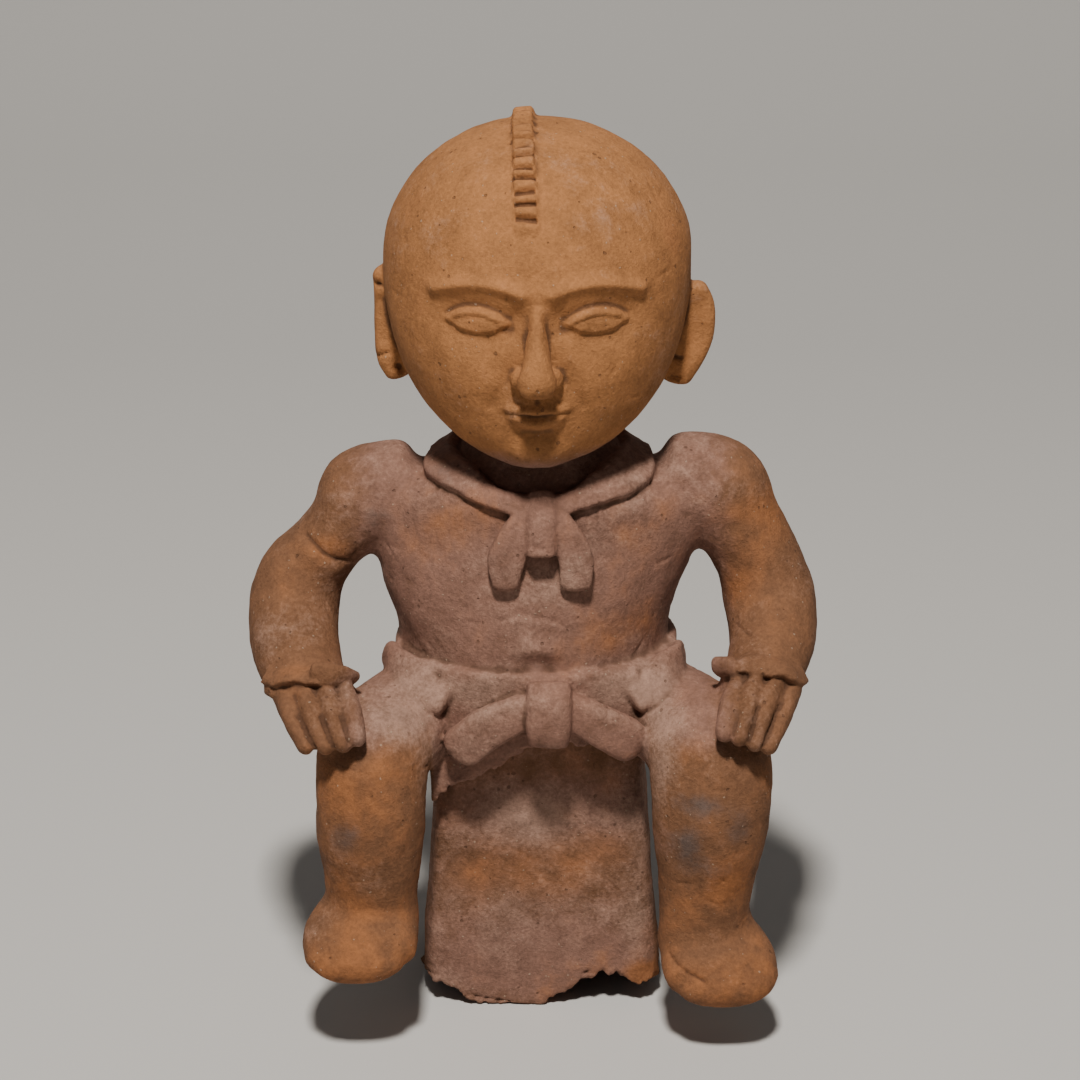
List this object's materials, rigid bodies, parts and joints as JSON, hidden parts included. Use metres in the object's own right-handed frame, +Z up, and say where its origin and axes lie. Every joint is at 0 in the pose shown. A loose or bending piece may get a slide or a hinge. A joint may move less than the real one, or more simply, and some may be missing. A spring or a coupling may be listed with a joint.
{
  "type": "seated terracotta figure",
  "caption": "Hand-built fired-clay figure seated on a hollow box seat, hands on knees, with knotted collar, bow at the waist, notched crest strip and a broken seat front.",
  "frame": {"origin": "centre of the figure's box seen from above, on the surface that the seat's rim stands on", "axes": "+Z up along the figure's height; the figure faces -Y, and +X is the viewer's right"},
  "size_m": [0.2722, 0.1732, 0.4402],
  "materials": {
    "fired_clay": "unglazed fired clay, dull orange-brown with pale pinkish slip, grey fire clouds and small pits"
  },
  "bodies": {
    "root": {"seated_figure": "fired_clay"}
  },
  "joints": []
}
